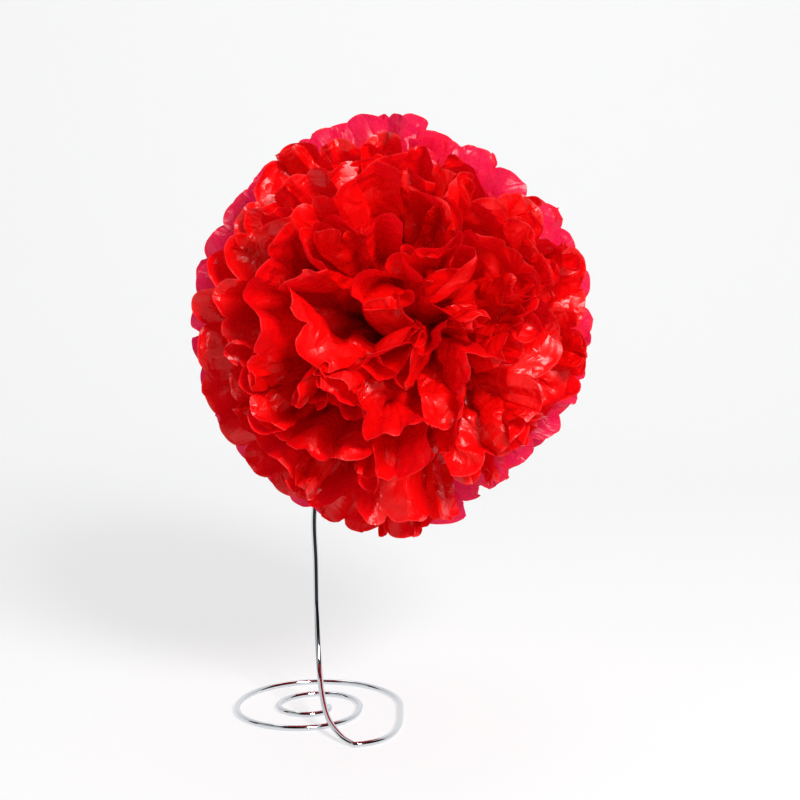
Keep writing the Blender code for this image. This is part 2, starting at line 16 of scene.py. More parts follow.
import bmesh
import bpy
import numpy as np
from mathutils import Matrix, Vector


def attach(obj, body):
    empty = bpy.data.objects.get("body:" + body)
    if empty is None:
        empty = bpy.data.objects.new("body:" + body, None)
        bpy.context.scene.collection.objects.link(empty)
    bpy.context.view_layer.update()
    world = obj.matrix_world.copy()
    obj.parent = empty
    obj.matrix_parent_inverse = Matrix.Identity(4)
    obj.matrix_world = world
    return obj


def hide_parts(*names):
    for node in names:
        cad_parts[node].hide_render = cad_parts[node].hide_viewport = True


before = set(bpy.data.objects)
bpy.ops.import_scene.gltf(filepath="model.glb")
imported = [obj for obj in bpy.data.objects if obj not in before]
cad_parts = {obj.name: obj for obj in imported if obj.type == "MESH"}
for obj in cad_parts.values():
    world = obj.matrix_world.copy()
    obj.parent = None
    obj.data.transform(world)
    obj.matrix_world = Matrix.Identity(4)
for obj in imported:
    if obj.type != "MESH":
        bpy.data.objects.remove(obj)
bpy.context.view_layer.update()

# %% [markdown]
# The camera comes first, because everything else is judged through it. The photograph was taken from
# a little above, with a long lens. The spiral of the stand is seen more steeply than the ball, and
# the two together give the camera's height and distance.

# %% Camera at the photograph's angle
BALL_HEIGHT = 0.2425
CAMERA_FIELD = math.radians(24.0)
CAMERA_DISTANCE = 1.147
CAMERA_PITCH = math.radians(8.8)
CAMERA_TARGET = Vector((0.0045, 0.0, 0.1955))


def add_camera():
    """The camera looks along +Y and down by its pitch, at a point on the ball's axis."""
    lens = bpy.data.cameras.new("camera")
    lens.sensor_fit = "HORIZONTAL"
    lens.angle = CAMERA_FIELD
    camera = bpy.data.objects.new("camera", lens)
    bpy.context.scene.collection.objects.link(camera)
    back = Vector((0.0, -math.cos(CAMERA_PITCH), math.sin(CAMERA_PITCH)))
    camera.location = CAMERA_TARGET + back * CAMERA_DISTANCE
    camera.rotation_euler = (math.pi / 2 - CAMERA_PITCH, 0.0, 0.0)
    bpy.context.scene.camera = camera
    print("camera at:", [round(part, 3) for part in camera.location])


add_camera()

# %% [markdown]
# Every piece below is a grid of points. One helper turns such a grid into a smooth mesh, and gives it
# a UV map in metres of real paper or wire, so that a pattern in a material follows the surface.


# %% A grid of points becomes a mesh
def grid_faces(rows, columns, around=False):
    """Four corners for each cell of a grid. With around, the last column meets the first again."""
    row = np.arange(rows - 1)[:, None] * columns
    column = np.arange(columns if around else columns - 1)[None, :]
    after = (column + 1) % columns
    corners = (row + column, row + after, row + columns + after, row + columns + column)
    return np.stack(corners, axis=-1).reshape(-1, 4)


def grid_object(name, points, uv, material, around=False):
    """A smooth mesh object at the origin from points (rows, columns, 3) and uv (rows, columns, 2)."""
    rows, columns = points.shape[:2]
    faces = grid_faces(rows, columns, around)
    mesh = bpy.data.meshes.new(name)
    mesh.vertices.add(rows * columns)
    mesh.vertices.foreach_set("co", points.reshape(-1))
    mesh.loops.add(faces.size)
    mesh.loops.foreach_set("vertex_index", faces.reshape(-1).astype(np.int32))
    mesh.polygons.add(len(faces))
    mesh.polygons.foreach_set("loop_start", np.arange(0, faces.size, 4, dtype=np.int32))
    layer = mesh.uv_layers.new(name="Paper")
    layer.data.foreach_set("uv", uv.reshape(-1, 2)[faces.reshape(-1)].reshape(-1).astype(np.float32))
    mesh.update(calc_edges=True)
    mesh.validate()
    mesh.shade_smooth()
    mesh.materials.append(material)
    thing = bpy.data.objects.new(name, mesh)
    bpy.context.scene.collection.objects.link(thing)
    return thing


# %% [markdown]
# Materials are made of nodes. Small helpers keep them short: they start an empty material, add a node
# and set its sockets, blend two shaders, mix two colours, and do sums with what the nodes give.


# %% Helpers for materials
def feed(tree, socket, value):
    """Connect the socket to another one, or give it a constant value."""
    if isinstance(value, bpy.types.NodeSocket):
        tree.links.new(value, socket)
    else:
        socket.default_value = value


def node(tree, kind, **inputs):
    """Add a node, and set or connect its inputs by their names, with _ for a space."""
    new = tree.nodes.new(kind)
    for name, value in inputs.items():
        feed(tree, new.inputs[name.replace("_", " ")], value)
    return new


def blank_material(name):
    """A node material with nothing in it but its output."""
    material = bpy.data.materials.new(name)
    material.use_nodes = True
    material.node_tree.nodes.clear()
    output = material.node_tree.nodes.new("ShaderNodeOutputMaterial")
    return material, material.node_tree, output


def paper_uv(tree):
    """The UV map in metres that grid_object gives each piece."""
    uv = node(tree, "ShaderNodeUVMap")
    uv.uv_map = "Paper"
    return uv.outputs["UV"]


def blend_into(output, tree, factor, one, two):
    """Give the output a blend of two shader nodes: all of the first at factor 0, of the second at 1."""
    mix = node(tree, "ShaderNodeMixShader", Fac=factor)
    for place, shader in ((1, one), (2, two)):
        tree.links.new(shader.outputs[0], mix.inputs[place])
    tree.links.new(mix.outputs["Shader"], output.inputs["Surface"])


# %% Helpers for colours and numbers in a material
def colour_mix(tree, factor, low, high):
    """A colour between low and high, as the factor says."""
    mix = node(tree, "ShaderNodeMix")
    mix.data_type = "RGBA"
    tree.links.new(factor, mix.inputs["Factor"])
    for name, colour in (("A", low), ("B", high)):
        if isinstance(colour, bpy.types.NodeSocket):
            tree.links.new(colour, mix.inputs[name])
        else:
            mix.inputs[name].default_value = (*colour, 1.0)
    return mix.outputs["Result"]


def ramp(tree, value, start, end, low=0.0, high=1.0):
    """A number that runs from low to high while value runs from start to end."""
    new = node(tree, "ShaderNodeMapRange", Value=value)
    for name, number in (("From Min", start), ("From Max", end), ("To Min", low), ("To Max", high)):
        new.inputs[name].default_value = number
    return new.outputs["Result"]


def calculate(tree, operation, *values):
    """A Math node of the operation, with numbers or sockets as its values."""
    new = tree.nodes.new("ShaderNodeMath")
    new.operation = operation
    for socket, value in zip(new.inputs, values):
        feed(tree, socket, value)
    return new.outputs["Value"]


# %% [markdown]
# Tissue is so thin that light comes through it. Where one layer stands alone at the rim, it glows
# pink. Where many layers lie on each other, no light comes through and the red is deep. That is what
# a Translucent shader does beside a plain one: it lights a face from behind. On the two middle sheets
# that pink glow is also painted on the lit side near the rim, and every cut edge has a painted
# highlight, a paler red. One side of the paper is pressed smooth and shines a little, and its fibres
# show as fine mottling.

# %% Red tissue paper
RIM_RANK = 4
WRINKLE_HEIGHT = 0.0003
ROOFS = ((75.0, 0.8), (190.0, 0.5))
RED = ((0.83, 0.0006, 0.0008), (0.95, 0.0016, 0.0016))
DEEP_RED = ((0.80, 0.0006, 0.0020), (0.96, 0.0020, 0.0060))
# Painted highlight: the paler red of the cut edge, in the band below, from 0.4 to 1.2 mm off the edge.
PAINTED_EDGE_HIGHLIGHT = (0.97, 0.030, 0.030)
EDGE_HIGHLIGHT_BAND = (0.0004, 0.0012)
GLOW_BAND = (0.012, 0.034)
THROUGH_SHARE = 0.24
SHEEN = 0.34


def crease_height(tree, place):
    """Height in metres: soft wrinkles, and roofs or pits with flat sides over two Voronoi patterns.

    A roof is the distance to its cell's edge, times a slope that each cell has by chance. ROOFS gives
    each pattern's cells for a metre and its steepest slope.
    """
    wrinkles = node(tree, "ShaderNodeTexNoise", Vector=place, Scale=170.0, Detail=5.0, Roughness=0.55)
    wobble = node(tree, "ShaderNodeTexNoise", Vector=place, Scale=30.0, Detail=1.0)
    shift = node(tree, "ShaderNodeVectorMath")
    shift.operation = "MULTIPLY_ADD"
    tree.links.new(wobble.outputs["Color"], shift.inputs[0])
    shift.inputs[1].default_value = (0.03, 0.03, 0.0)
    tree.links.new(place, shift.inputs[2])
    total = calculate(tree, "MULTIPLY", wrinkles.outputs["Fac"], WRINKLE_HEIGHT)
    for scale, slope in ROOFS:
        edges = node(tree, "ShaderNodeTexVoronoi", Vector=shift.outputs["Vector"], Scale=scale)
        edges.feature = "DISTANCE_TO_EDGE"
        cells = node(tree, "ShaderNodeTexVoronoi", Vector=shift.outputs["Vector"], Scale=scale)
        lot = node(tree, "ShaderNodeSeparateXYZ", Vector=cells.outputs["Color"]).outputs["X"]
        lean = calculate(tree, "MULTIPLY", calculate(tree, "SUBTRACT", lot, 0.5), slope / scale)
        total = calculate(tree, "MULTIPLY_ADD", edges.outputs["Distance"], lean, total)
    return total


def tissue_material(name, rim_low, rim_high, rim_share, painted_glow_share):
    """Red paper: a satin surface mixed with light that comes through from behind.

    Towards the rim more light comes through, in the rim's own colours. The cut edge has a painted
    highlight: a paler red within about a millimetre of it.
    rim_share is the share of that light at the rim. The last argument says how far the rim's colours
    are painted on the lit side too, as a painted glow of the light that comes through.
    """
    material, tree, output = blank_material(name)
    place = paper_uv(tree)
    rim = node(tree, "ShaderNodeAttribute")
    rim.attribute_name = "to_rim"
    fibres = node(tree, "ShaderNodeTexNoise", Vector=place, Scale=900.0, Detail=4.0, Roughness=0.65)
    clouds = node(tree, "ShaderNodeTexNoise", Vector=place, Scale=60.0, Detail=3.0, Roughness=0.5)
    mottle = ramp(tree, fibres.outputs["Fac"], 0.35, 0.65)
    # Mask of the painted edge highlight: 1 at the cut edge, 0 about a millimetre in.
    edge = ramp(tree, rim.outputs["Fac"], *EDGE_HIGHLIGHT_BAND, 1.0, 0.0)
    near_rim = ramp(tree, rim.outputs["Fac"], *GLOW_BAND, 1.0, 0.0)
    red = colour_mix(tree, clouds.outputs["Fac"], *RED)
    rim_face = colour_mix(tree, mottle, rim_low, rim_high)
    # Painted glow: near the rim, the rim's pink is mixed into the lit side's colour as the last argument
    # says.
    face = colour_mix(tree, calculate(tree, "MULTIPLY", near_rim, painted_glow_share), red, rim_face)
    # The painted edge highlight goes over the face colour here.
    front = colour_mix(tree, edge, face, PAINTED_EDGE_HIGHLIGHT)
    deep = colour_mix(tree, mottle, *DEEP_RED)
    through = colour_mix(tree, near_rim, deep, rim_face)
    height = crease_height(tree, place)
    bump = node(tree, "ShaderNodeBump", Strength=1.0, Distance=1.0, Height=height)
    satin = node(
        tree, "ShaderNodeBsdfPrincipled",
        Base_Color=front, Roughness=SHEEN, Normal=bump.outputs["Normal"],
    )
    satin.inputs["Specular IOR Level"].default_value = 0.5
    glow = node(tree, "ShaderNodeBsdfTranslucent", Color=through, Normal=bump.outputs["Normal"])
    share = ramp(tree, near_rim, 0.0, 1.0, THROUGH_SHARE, rim_share)
    blend_into(output, tree, share, satin, glow)
    return material


TISSUE = tissue_material("red_tissue", (0.84, 0.001, 0.006), (0.98, 0.004, 0.020), 0.28, 0.0)
# The rim sheets let pink light through, and have a painted pink glow on their lit side near the rim.
RIM_TISSUE = tissue_material("red_tissue_rim", (0.90, 0.005, 0.075), (1.0, 0.035, 0.190), 0.50, 0.55)
print("tissue materials:", TISSUE.name, "and", RIM_TISSUE.name)

# %% [markdown]
# The sizes below are the CAD model's own. Every sheet has two fans, one on each side of the tie, and
# ten sheets make twenty fans. A fan sweeps round an axis that points to the front of the ball, and
# leans away from that axis by its own angle. In the photograph the front fan of the right side is
# spread almost into a full rose, which leans up and to the right, and the left side leaves a dark
# hollow beside it. The axes and angles of the inner fans say so.

# %% Where each fan lies
SHEETS = 10
PANELS = 20
PANEL_WIDTH = 0.0254
SHEET_WIDTH = 0.252
TIE_OFFSET = 0.005  # the tie is to the right of the sheets' middle
SCALLOP_DEPTH = 0.009
WAIST_HEIGHT = 0.008
SHEET_PITCH = 0.0004
WAIST_STEP = 0.0008  # each sheet towards the middle leaves the tie this much farther out
WAIST_HALF_LENGTH = 0.00165
SEAM_TOP = math.radians(85)
SEAM_BOTTOM = math.radians(-74)
WAIST = np.array([TIE_OFFSET, 0.0, BALL_HEIGHT])

# Leans and tilts are in degrees, from the frontmost sheet to the middle one.
RIGHT_LEANS = (16.0, 33.0, 50.0, 66.0, 80.0)
LEFT_LEANS = (31.0, 44.0, 56.0, 68.5, 80.5)
RIGHT_TILTS = ((8.0, 13.0), (6.0, 9.0), (3.0, 5.0), (1.0, 2.0), (0.0, 0.0))
LEFT_TILTS = ((1.0, 5.0), (0.0, 3.0), (0.0, 1.5), (0.0, 0.0), (0.0, 0.0))
BACK_RISE = -0.4  # share of the front fans' upward tilt
SEAM_SHIFT = 3.0
ROSE_SWEEP = (172.0, -172.0)
ROSE_LIMIT = 22.0

rng = np.random.default_rng(11)


def smooth_step(value, low, high):
    """0 below low, 1 above high, and 3 t^2 - 2 t^3 between them."""
    t = np.clip((value - low) / (high - low), 0.0, 1.0)
    return t * t * (3.0 - 2.0 * t)


class Fan:
    """One half of one sheet: its axis, its lean and the turns it sweeps from and to, in radians."""

    def __init__(self, sheet, side):
        self.sheet = sheet
        self.side = side
        self.front = sheet < SHEETS // 2
        self.rank = min(sheet, SHEETS - 1 - sheet)
        leans, tilts = (RIGHT_LEANS, RIGHT_TILTS) if side > 0 else (LEFT_LEANS, LEFT_TILTS)
        self.lean = math.radians(leans[self.rank])
        right, up = (math.radians(part) for part in tilts[self.rank])
        self.facing = -1.0 if self.front else 1.0
        if not self.front:
            up = BACK_RISE * up
        self.axis = np.array([math.sin(right), self.facing * math.cos(right) * math.cos(up), math.sin(up)])
        self.axis /= np.linalg.norm(self.axis)
        shift = math.radians(SEAM_SHIFT) * (1 if self.front else -1)
        self.turns = [SEAM_BOTTOM + shift, SEAM_TOP + shift]
        if side < 0:
            self.turns = [SEAM_BOTTOM + shift, SEAM_TOP + shift - 2 * math.pi]
        elif self.rank == 0:
            self.turns = [math.radians(turn) for turn in reversed(ROSE_SWEEP)]
        self.waist_end = WAIST_HALF_LENGTH + self.rank * WAIST_STEP
        self.reach = SHEET_WIDTH / 2 - side * TIE_OFFSET - self.waist_end

    def row_distances(self):
        """How far each row of the net is from the waist on the flat paper. The last gap is the petals'."""
        return np.concatenate([np.linspace(0.0, self.reach - RIM_BAND, ROWS - 1), [self.reach]])

    def across(self):
        """Two directions across the axis: the first level to the right, the second upward."""
        level = np.array([1.0, 0.0, 0.0]) - self.axis[0] * self.axis
        level /= np.linalg.norm(level)
        upward = np.array([0.0, 0.0, 1.0]) - self.axis[2] * self.axis
        upward -= upward @ level * level
        return level, upward / np.linalg.norm(upward)


FANS = [Fan(sheet, side) for sheet in range(SHEETS) for side in (-1, 1)]
print("fans:", len(FANS), "reach of the first:", round(FANS[0].reach, 3), "m")

# %% [markdown]
# How does paper fill its place? It can't stretch. A flat panel between two folds keeps its width, so
# where a sheet has more width than its arc allows, panels stand on edge, lean over each other, or
# fold back. The start of every fan is a chain of panels laid along the arc: each panel goes forward
# by a chance share of its width, and uses up the rest in depth, up or down.

# %% A chain of panels for each fan
PER_PANEL = 3
COLUMNS = PANELS * PER_PANEL + 1
ROWS = 15
RIM_BAND = 0.0115
FULL_WIDTH_FROM = 0.075
SPREAD, RIM_SPREAD = 0.38, 0.10
KEEP_WAY, RIM_KEEP_WAY = 0.35, 0.15
MOST_FORWARD = 0.97
HALF_BAND = 0.105


def panel_chain(fan):
    """Place along the arc (0 to 1) and depth (metres) of the 21 fold lines at the rim.

    SPREAD says how far the panels' shares scatter, and KEEP_WAY how often a fold is left out, so that
    two panels rise the same way.
    """
    arc = fan.reach * math.sin(fan.lean) * abs(fan.turns[1] - fan.turns[0])
    forward = arc / (PANELS * PANEL_WIDTH)
    spread, keep_way = (RIM_SPREAD, RIM_KEEP_WAY) if fan.rank == RIM_RANK else (SPREAD, KEEP_WAY)
    shares = np.clip(forward + rng.normal(0.0, spread, PANELS), -0.5, MOST_FORWARD)
    for _ in range(20):
        shares = np.clip(shares + (forward - shares.mean()), -0.55, MOST_FORWARD)
    half_band = HALF_BAND * fan.reach
    depth = np.zeros(PANELS + 1)
    sign = rng.choice([-1.0, 1.0])
    for panel in range(PANELS):
        rise = PANEL_WIDTH * math.sqrt(1.0 - shares[panel] ** 2)
        keep = rng.uniform() < keep_way
        ahead = depth[panel] + sign * rise
        if not keep or abs(ahead) > 1.7 * half_band:
            sign = -sign if abs(depth[panel] - sign * rise) < abs(ahead) + 0.006 else sign
        depth[panel + 1] = depth[panel] + sign * rise
    depth -= depth.mean()
    return np.concatenate([[0.0], np.cumsum(shares)]) / shares.sum(), depth


def start_points(fan):
    """Points (ROWS, COLUMNS, 3) of a fan laid on its own cone round its axis.

    The point at the distance d from the waist is d * (cos(lean) * axis + sin(lean) * beside), where
    beside = cos(turn) * level + sin(turn) * upward. The depth of a fold turns the lean by depth / d.
    """
    along, depth = panel_chain(fan)
    column = np.linspace(0, PANELS, COLUMNS)
    along = np.interp(column, np.arange(PANELS + 1), along)
    depth = np.interp(column, np.arange(PANELS + 1), depth)
    far = fan.row_distances()
    level, upward = fan.across()
    gathered = np.minimum(1.0, far / FULL_WIDTH_FROM)[:, None]
    turn = fan.turns[0] + (fan.turns[1] - fan.turns[0]) * along[None, :]
    lean = fan.lean + depth[None, :] * gathered / np.maximum(far[:, None], 0.02)
    out = far[:, None] * np.sin(lean)
    points = (
        (far[:, None] * np.cos(lean))[..., None] * fan.axis
        + (out * np.cos(turn))[..., None] * level
        + (out * np.sin(turn))[..., None] * upward
    )
    height = (np.linspace(0, 1, COLUMNS) - 0.5) * WAIST_HEIGHT
    at_tie = np.stack(np.broadcast_arrays(
        fan.side * fan.waist_end, (fan.sheet - (SHEETS - 1) / 2) * SHEET_PITCH, height
    ), axis=-1)
    return points + at_tie * (1.0 - 0.8 * smooth_step(far, 0.0, 0.1))[:, None, None]


# %% [markdown]
# Crumpled paper is made of flat facets that meet in sharp ridges. To draw them, the paper is covered
# with a net of triangles whose corners are shifted and lifted by chance. Between three corners the
# height runs straight, so every triangle is one flat facet.


# %% Facets by chance
CORNER_SHIFT = 0.34


def facets(u, v, cell_u, cell_v, chance):
    """Height between -1 and 1, straight over each triangle of a shaken net of corners."""
    a = np.floor(u / cell_u).astype(int)
    b = np.floor(v / cell_v).astype(int)
    a0, b0 = a.min() - 2, b.min() - 2
    size = (a.max() - a0 + 4, b.max() - b0 + 4)
    shift_u = chance.uniform(-CORNER_SHIFT, CORNER_SHIFT, size)
    corner_u = (np.arange(size[0])[:, None] + a0 + shift_u) * cell_u
    shift_v = chance.uniform(-CORNER_SHIFT, CORNER_SHIFT, size)
    corner_v = (np.arange(size[1])[None, :] + b0 + shift_v) * cell_v
    lift = chance.uniform(-1.0, 1.0, size)
    height = np.zeros(u.shape)
    best = np.full(u.shape, -np.inf)
    for da in (-1, 0, 1):
        for db in (-1, 0, 1):
            i, j = a - a0 + da, b - b0 + db
            for corners in (((0, 0), (1, 0), (1, 1)), ((0, 0), (1, 1), (0, 1))):
                (ua, va, ha), (ub, vb, hb), (uc, vc, hc) = (
                    (corner_u[i + p, j + q], corner_v[i + p, j + q], lift[i + p, j + q]) for p, q in corners
                )
                area = (ub - ua) * (vc - va) - (uc - ua) * (vb - va)
                wb = ((u - ua) * (vc - va) - (uc - ua) * (v - va)) / area
                wc = ((ub - ua) * (v - va) - (u - ua) * (vb - va)) / area
                wa = 1.0 - wb - wc
                inside = np.minimum(np.minimum(wa, wb), wc)
                take = inside > best
                best = np.where(take, inside, best)
                height = np.where(take, wa * ha + wb * hb + wc * hc, height)
    return height


# %% [markdown]
# From that start, the paper is settled by position based dynamics. Every short distance between two
# neighbouring points of the flat sheet is a rule: it has to be the same on the bent sheet. Rules are
# applied in turn, many times over, each moving its two points by half of what is wrong. Two more
# rules keep order: a sheet stays between the cones that part it from its neighbours, and left and
# right fans stay on their sides of the seam. Points two steps apart resist bending, less at folds
# and at chance creases, which is what makes flat facets with sharp ridges.

# %% Settle the paper
REST_U = PANEL_WIDTH / PER_PANEL
SETTLE_STEPS = 240
FASTEST = 0.0025  # the farthest that its speed takes a point in one step
PUSH = 0.00012  # outward in each step
SHAKE = 0.0015  # by chance, in the first half of the steps
CLEAR = 0.0012  # from a point to its cones
STEM_ROOM = 0.0036  # from the plane between front and back to the paper
SEAM_GAP = 0.0007
WAVE_ANGLE = math.radians(4.5)
CRUMPLE = 0.0060
CRUMPLE_STEPS = 12  # the last steps, after the crumpling
CRUMPLE_CELL = (0.019, 0.024)
PUSH_FADE = (0.03, 0.10)  # distances from the waist between which it grows from 0 to full
SHAKE_FADE = (0.03, 0.08)
CRUMPLE_FADE = (0.02, 0.06)
DIAGONAL_HOLD = 0.9
FOLD_HOLD = 0.12
BEND_HOLD = 0.35
DOWN_HOLD = 1.2
SHUT_FOLD = 0.72
INERTIA = 0.86
THIRD_ROW_FREE = 0.4
LIMITS_EVERY = 20
SEAM_HOLD = 0.35


def pull(points, free, first, second, rest, stiffness):
    """Move two sets of points along the lines between them, towards the distance rest."""
    a, b = points[first], points[second]
    line = b - a
    length = np.linalg.norm(line, axis=-1, keepdims=True) + 1e-9
    wa, wb = free[first], free[second]
    change = stiffness * (length - rest) / (length * (wa + wb + 1e-9)) * line
    points[first] += wa * change
    points[second] -= wb * change


def rules(flat):
    """All pairs of points tied by a rule: (first, second, rest length, stiffness), as indices.

    Pairs in one group share no point, so a whole group can move at once.
    """
    found = []
    at_fold = (np.arange(COLUMNS) + 1) % PER_PANEL == 0
    fold_rest = rng.uniform(SHUT_FOLD, 1.0, (len(FANS), COLUMNS))

    def add(row_step, column_step, stiffness):
        """One rule from every point to the one so many rows and columns on, in two groups."""
        first_rows = np.arange(ROWS - row_step)
        first_columns = np.arange(COLUMNS - abs(column_step)) + max(0, -column_step)
        for parity in (0, 1):
            rows, columns = first_rows, first_columns
            if column_step:
                place = np.arange(len(columns)) // abs(column_step)
                columns = columns[place % 2 == parity]
            else:
                rows = rows[(rows // row_step) % 2 == parity]
            rows, columns = np.ix_(rows, columns)
            one = (slice(None), rows, columns)
            two = (slice(None), rows + row_step, columns + column_step)
            width = 0.5 * (flat[one][..., 0] + flat[two][..., 0]) * column_step
            rest = np.hypot(width, flat[two][..., 1] - flat[one][..., 1])
            if column_step == 2:
                folded = fold_rest[:, None, :][..., columns[0]]
                rest = rest * np.where(at_fold[columns], folded, 1.0)
            hold = stiffness[one][..., None] if isinstance(stiffness, np.ndarray) else stiffness
            found.append((one, two, rest[..., None], hold))

    add(0, 1, 1.0)
    add(1, 0, 1.0)
    add(1, 1, DIAGONAL_HOLD)
    add(1, -1, DIAGONAL_HOLD)
    crease = BEND_HOLD * rng.uniform(0.0, 1.0, flat.shape[:3])
    add(0, 2, np.where(at_fold, FOLD_HOLD, crease))
    add(2, 0, crease * DOWN_HOLD)
    return found


def flat_places():
    """For each point the paper's width from column to column, its distance from the waist and its crumple.

    The width is less near the waist, where the pleats are gathered.
    """
    flat = np.zeros((len(FANS), ROWS, COLUMNS, 3))
    for index, fan in enumerate(FANS):
        far = fan.row_distances()
        flat[index, :, :, 0] = REST_U * np.minimum(1.0, far / FULL_WIDTH_FROM)[:, None]
        flat[index, :, :, 1] = far[:, None]
        across, up = np.broadcast_arrays(np.arange(COLUMNS)[None, :] * REST_U, far[:, None])
        flat[index, :, :, 2] = CRUMPLE * facets(across, up, *CRUMPLE_CELL, rng)
    return flat


def cone_limits():
    """For each fan its inner and its outer cone: axis, angle and the number of its waves, or none.

    A cone halfway between two neighbours is shared by both. The rose has its own, which the first
    fan of the left side shares too.
    """
    inner, outer = [], []
    for fan in FANS:
        family = [other for other in FANS if other.side == fan.side and other.front == fan.front]
        family.sort(key=lambda other: other.rank)
        rose = next(f for f in FANS if f.side > 0 and f.front == fan.front and f.rank == 0)
        number = (0 if fan.front else 100) + (0 if fan.side > 0 else 10) + fan.rank
        rose_cone = (rose.axis, math.radians(ROSE_LIMIT), (0 if fan.front else 100) + 1)

        def between(one, two, wave_number):
            axis = one.axis + two.axis
            return axis / np.linalg.norm(axis), 0.5 * (one.lean + two.lean), wave_number

        if fan is rose:
            inner.append((fan.axis, 0.02, None))
            outer.append(rose_cone)
            continue
        if fan.rank == 0 or family[fan.rank - 1] is rose:
            inner.append(rose_cone)
        else:
            inner.append(between(family[fan.rank - 1], fan, number))
        if fan.rank < len(family) - 1:
            outer.append(between(fan, family[fan.rank + 1], number + 1))
        else:
            outer.append((np.array([0.0, fan.facing, 0.0]), math.radians(89.0), None))
    return inner, outer


def wave(direction, chance_number):
    """A smooth wavy field between -1 and 1 over directions."""
    chance = np.random.default_rng(chance_number)
    total = 0.0
    for _ in range(5):
        way = chance.normal(size=3)
        way *= chance.uniform(4.0, 9.0) / np.linalg.norm(way)
        total = total + np.sin(direction @ way + chance.uniform(0, 2 * math.pi))
    return np.tanh(total / 2.0)


def wavy_limits(points, cones):
    """Axes, and limits in radians at every point, waves included."""
    axes = np.array([cone[0] for cone in cones])[:, None, None, :]
    limits = np.zeros(points.shape[:3] + (1,))
    for index, (_, angle, number) in enumerate(cones):
        limits[index] = angle
        if number is not None:
            way = points[index] / (np.linalg.norm(points[index], axis=-1, keepdims=True) + 1e-9)
            limits[index] += (WAVE_ANGLE * wave(way, number))[..., None]
    return axes, limits


def keep_between(points, axes, limits, sign):
    """Turn points about the cone's axis back to their side of it. sign 1 keeps them outside."""
    far = np.linalg.norm(points, axis=-1, keepdims=True)
    ahead = np.sum(points * axes, axis=-1, keepdims=True)
    across = points - ahead * axes
    beside = np.linalg.norm(across, axis=-1, keepdims=True) + 1e-9
    angle = np.arctan2(beside, ahead)
    slack = CLEAR / np.maximum(far, 0.004)
    new = angle + sign * np.maximum(0.0, sign * (limits - angle) + slack)
    return far * (np.cos(new) * axes + np.sin(new) * across / beside)


def surface_normals(points):
    """Unit normals of grids of points (..., rows, columns, 3), from the cross product of their two ways."""
    normal = np.cross(np.gradient(points, axis=-2), np.gradient(points, axis=-3))
    return normal / (np.linalg.norm(normal, axis=-1, keepdims=True) + 1e-12)


def seam_normals():
    """For each fan, the two seam planes' unit normals that point to its own side."""
    front = np.array([fan.front for fan in FANS])
    side = np.array([fan.side for fan in FANS])[:, None]
    shift = math.radians(SEAM_SHIFT) * np.where(front, 1, -1)
    top, bottom = SEAM_TOP + shift, SEAM_BOTTOM + shift
    above = np.stack([np.sin(top), 0 * top, -np.cos(top)], axis=1) * side
    below = np.stack([-np.sin(bottom), 0 * bottom, np.cos(bottom)], axis=1) * side
    return above, below


def settle(points):
    """Position based dynamics on all twenty fans at once."""
    flat = flat_places()
    bounds = rules(flat)
    inner, outer = cone_limits()
    free = np.ones(points.shape[:3] + (1,))
    free[:, :2] = 0.0
    free[:, 2] = THIRD_ROW_FREE
    movable = free[..., 0] > 0
    facing = np.array([fan.facing for fan in FANS])[:, None, None]
    in_seam = np.array([fan.side < 0 or fan.rank > 0 for fan in FANS])[:, None, None]
    above, below = seam_normals()
    old = points.copy()
    for step in range(SETTLE_STEPS):
        speed = INERTIA * (points - old) * free
        old = points.copy()
        speed *= np.minimum(1.0, FASTEST / (np.linalg.norm(speed, axis=-1, keepdims=True) + 1e-9))
        points = points + speed
        far = np.linalg.norm(points, axis=-1, keepdims=True)
        points += free * PUSH * smooth_step(far, *PUSH_FADE) * points / (far + 1e-9)
        if step < SETTLE_STEPS // 2:
            points += free * rng.normal(0.0, SHAKE, points.shape) * smooth_step(far, *SHAKE_FADE)
        if step % LIMITS_EVERY == 0:
            inside, outside = wavy_limits(points, inner), wavy_limits(points, outer)
        if step == SETTLE_STEPS - CRUMPLE_STEPS:
            points += surface_normals(points) * flat[..., 2:] * smooth_step(far, *CRUMPLE_FADE) * free
            bounds = [rule for rule in bounds if isinstance(rule[3], float)]
        for _ in range(2):
            for one, two, rest, stiffness in bounds:
                pull(points, free, one, two, rest, stiffness)
        far = np.linalg.norm(points, axis=-1, keepdims=True)
        points *= np.minimum(1.0, (flat[..., 1:2] + 0.001) / (far + 1e-9)) * free + (1.0 - free)
        for column, normal in ((0, below), (-1, above)):
            off = np.einsum("frx,fx->fr", points[:, :, column], normal) - SEAM_GAP
            hold = SEAM_HOLD * free[:, :, column, 0] * in_seam[:, :, 0] * off
            points[:, :, column] -= hold[..., None] * normal[:, None]
        kept = keep_between(points, *inside, 1.0)
        kept = keep_between(kept, *outside, -1.0)
        points = np.where(free > 0, kept, points)
        clear = np.minimum(STEM_ROOM, 0.12 * far[..., 0])
        points[..., 1] += np.where(movable, facing * np.maximum(0.0, clear - facing * points[..., 1]), 0.0)
        for normal, upward in ((above, 1.0), (below, -1.0)):
            over = np.einsum("frcx,fx->frc", points, normal) - SEAM_GAP
            crossed = (upward * points[..., 2] > 0) & in_seam & movable & (over < 0)
            points -= np.where(crossed, over, 0.0)[..., None] * normal[:, None, None, :]
    return points


COARSE = settle(np.stack([start_points(fan) for fan in FANS]))
print("settled; farthest point", round(float(np.linalg.norm(COARSE, axis=-1).max()), 4), "m from the waist")

# %% [markdown]
# The settled net is coarse, 8 mm from point to point. Two readings of it are mixed. One follows every
# triangle of the net. The other keeps only the fold lines of the pleats, so that each panel stays a
# few flat planes with sharp folds between them, as pleated paper has. Crumpling adds smaller facets.
# Then everything is rounded a little, because even a sharp crease in tissue has a radius. The round
# ends of the petals are cut here, by choosing where the last row is read.

